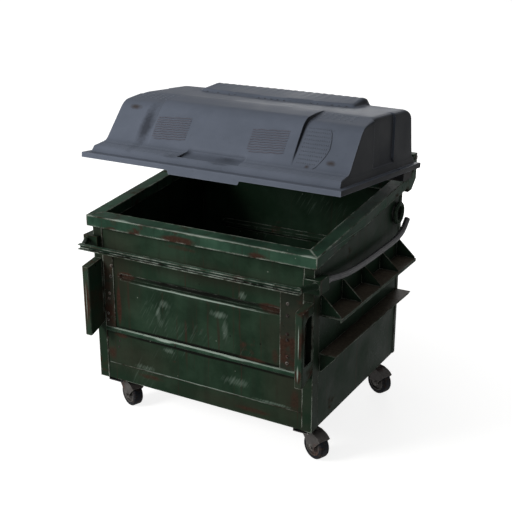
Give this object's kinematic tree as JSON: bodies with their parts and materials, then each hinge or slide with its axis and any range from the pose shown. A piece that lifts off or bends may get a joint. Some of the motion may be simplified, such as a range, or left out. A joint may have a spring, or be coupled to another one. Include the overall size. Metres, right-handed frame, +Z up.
{
  "type": "dumpster",
  "caption": "Rolling steel refuse container with a box-section rim, side fork shelves, front lift bar, swivel casters and a wide domed plastic lid that swings over its back.",
  "frame": {"origin": "on the ground, below the middle of the whole object's box", "axes": "+Z up, the front wall faces -Y, +X is to the right when the front is seen"},
  "size_m": [2.14, 1.91, 2.3913],
  "materials": {
    "body_paint": "worn dark green enamel with rust",
    "rim_paint": "worn grey-green enamel",
    "rusted_steel": "rusted steel with traces of paint",
    "bare_steel": "dark weathered steel",
    "zinc": "dull zinc plating",
    "lid_plastic": "moulded, slightly shiny polyethylene",
    "black_rubber": "matte",
    "tyre_rubber": "matte, dirty"
  },
  "bodies": {
    "root": {"floor_pan": "rusted_steel", "front_wall": "body_paint", "rear_wall": "body_paint", "right_wall": "body_paint", "left_wall": "body_paint", "front_right_post": "body_paint", "front_left_post": "body_paint", "rear_right_post": "body_paint", "rear_left_post": "body_paint", "front_rim": "rim_paint", "rear_rim": "rim_paint", "right_rim": "rim_paint", "left_rim": "rim_paint", "front_ledge": "body_paint", "front_right_strap": "body_paint", "front_left_strap": "body_paint", "front_right_pocket": "rusted_steel", "front_left_pocket": "rusted_steel", "front_lift_bar": "rim_paint", "right_lift_lug": "body_paint", "left_lift_lug": "body_paint", "right_side_rail": "bare_steel", "left_side_rail": "bare_steel", "right_rail_ring": "body_paint", "left_rail_ring": "body_paint", "right_fork_shelf": "body_paint", "left_fork_shelf": "body_paint", "right_fork_guide": "body_paint", "left_fork_guide": "body_paint", "right_hinge_post": "rim_paint", "left_hinge_post": "rim_paint", "middle_hinge_plate": "rim_paint", "hinge_rod": "zinc", "rear_right_stiffener": "body_paint", "rear_left_stiffener": "body_paint", "right_caster_channel": "bare_steel", "left_caster_channel": "bare_steel", "front_right_caster_plate": "zinc", "front_left_caster_plate": "zinc", "rear_right_caster_plate": "zinc", "rear_left_caster_plate": "zinc"},
    "lid": {"lid_shell": "lid_plastic", "lid_right_hinge_arm": "zinc", "lid_left_hinge_arm": "zinc", "lid_right_rest_pad": "black_rubber", "lid_left_rest_pad": "black_rubber"},
    "front_right_swivel_fork": {"front_right_fork": "zinc"},
    "front_left_swivel_fork": {"front_left_fork": "zinc"},
    "rear_right_swivel_fork": {"rear_right_fork": "zinc"},
    "rear_left_swivel_fork": {"rear_left_fork": "zinc"},
    "front_right_wheel": {"front_right_hub": "zinc", "front_right_tyre": "tyre_rubber"},
    "front_left_wheel": {"front_left_hub": "zinc", "front_left_tyre": "tyre_rubber"},
    "rear_right_wheel": {"rear_right_hub": "zinc", "rear_right_tyre": "tyre_rubber"},
    "rear_left_wheel": {"rear_left_hub": "zinc", "rear_left_tyre": "tyre_rubber"}
  },
  "joints": [
    {"name": "lid_hinge", "type": "hinge", "parent": "root", "child": "lid", "pos_m": [0, 0.925, 1.88], "axis": [-1, 0, 0], "range_deg": [-13, 225]},
    {"name": "front_right_swivel", "type": "hinge", "parent": "root", "child": "front_right_swivel_fork", "pos_m": [0.81, -0.575, 0.2], "axis": [0, 0, 1], "continuous": true},
    {"name": "front_left_swivel", "type": "hinge", "parent": "root", "child": "front_left_swivel_fork", "pos_m": [-0.81, -0.575, 0.2], "axis": [0, 0, 1], "continuous": true},
    {"name": "rear_right_swivel", "type": "hinge", "parent": "root", "child": "rear_right_swivel_fork", "pos_m": [0.81, 0.575, 0.2], "axis": [0, 0, 1], "continuous": true},
    {"name": "rear_left_swivel", "type": "hinge", "parent": "root", "child": "rear_left_swivel_fork", "pos_m": [-0.81, 0.575, 0.2], "axis": [0, 0, 1], "continuous": true},
    {"name": "front_right_roll", "type": "hinge", "parent": "front_right_swivel_fork", "child": "front_right_wheel", "pos_m": [0.88232, -0.60422, 0.1], "axis": [0.3746, 0.9272, 0], "continuous": true},
    {"name": "front_left_roll", "type": "hinge", "parent": "front_left_swivel_fork", "child": "front_left_wheel", "pos_m": [-0.73768, -0.60422, 0.1], "axis": [0.3746, 0.9272, 0], "continuous": true},
    {"name": "rear_right_roll", "type": "hinge", "parent": "rear_right_swivel_fork", "child": "rear_right_wheel", "pos_m": [0.88232, 0.54578, 0.1], "axis": [0.3746, 0.9272, 0], "continuous": true},
    {"name": "rear_left_roll", "type": "hinge", "parent": "rear_left_swivel_fork", "child": "rear_left_wheel", "pos_m": [-0.73768, 0.54578, 0.1], "axis": [0.3746, 0.9272, 0], "continuous": true}
  ]
}
